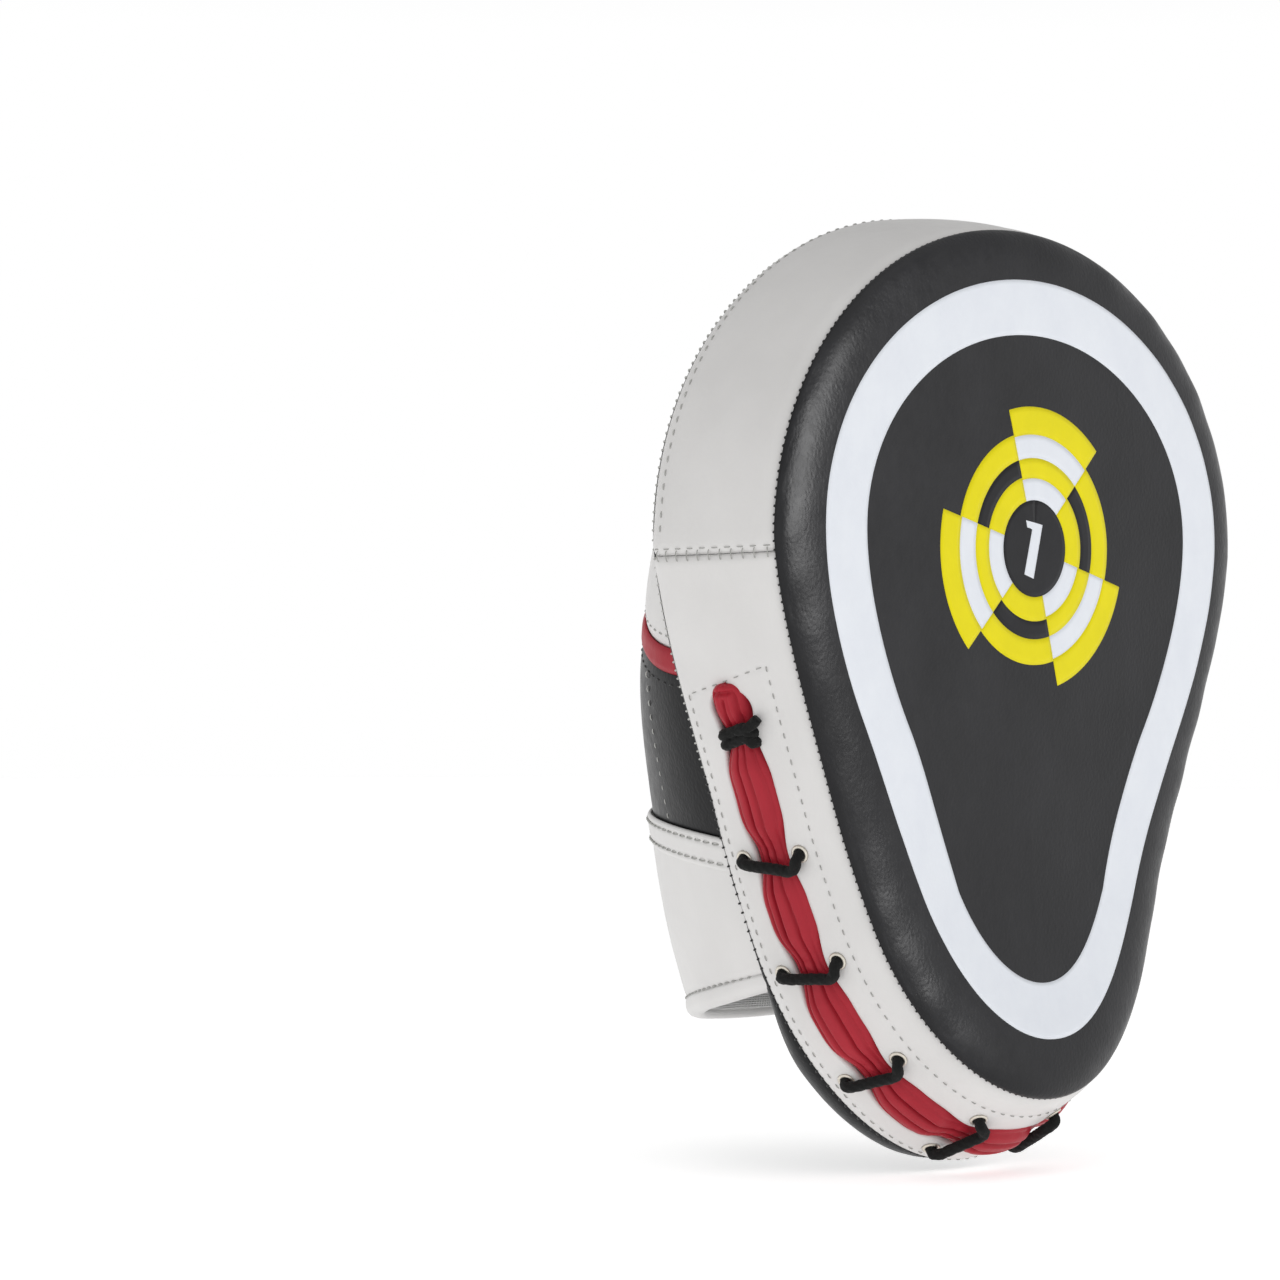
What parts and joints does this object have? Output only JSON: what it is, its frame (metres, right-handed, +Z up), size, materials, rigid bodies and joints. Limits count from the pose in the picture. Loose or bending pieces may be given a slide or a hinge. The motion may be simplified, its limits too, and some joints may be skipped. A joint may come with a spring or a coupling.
{
  "type": "focus mitt",
  "caption": "Curved padded boxing focus mitt with a printed target face, laced edge, padded hand hood, open wrist cuff and peel-off wrist strap.",
  "frame": {"origin": "middle of the pad's palm side, where the wearer's palm rests inside the hand pocket", "axes": "+Z up along the forearm and fingers, -Y out of the striking face, +X to the right as the striking face is seen"},
  "size_m": [0.2292, 0.1478, 0.2987],
  "materials": {
    "white_leather": "satin coated leather",
    "black_leather": "fine-grained satin coated leather",
    "red_leather": "satin coated leather",
    "foam": "closed-cell foam",
    "lining_fabric": "brushed lining",
    "lace_cord": "woven cord",
    "hook_and_loop": "hook and loop tape",
    "eyelet_metal": "plated"
  },
  "bodies": {
    "mitt": {"face_cover": "black_leather", "wall_upper": "white_leather", "wall_lower": "white_leather", "back_cover": "black_leather", "slot_facing": "white_leather", "tongue": "red_leather", "lace": "lace_cord", "eyelets": "eyelet_metal", "strike_foam": "foam", "shock_foam": "foam", "palm_foam": "foam", "hood_lower": "black_leather", "hood_arc": "red_leather", "hood_upper": "white_leather", "hood_foam": "foam", "pocket_lining": "lining_fabric", "cuff": "white_leather", "cuff_foam": "foam", "cuff_band": "white_leather", "cuff_hem": "white_leather", "heel_cover": "black_leather", "heel_foam": "foam", "palm_grip": "black_leather", "loop_patch": "hook_and_loop", "strap_anchor": "white_leather"},
    "strap": {"wrist_strap": "white_leather", "hook_patch": "hook_and_loop"}
  },
  "joints": [
    {"name": "strap_peel", "type": "hinge", "parent": "mitt", "child": "strap", "pos_m": [0.04, 0.07057, -0.087], "axis": [0, 0, -1], "range_deg": [0, 100]}
  ]
}
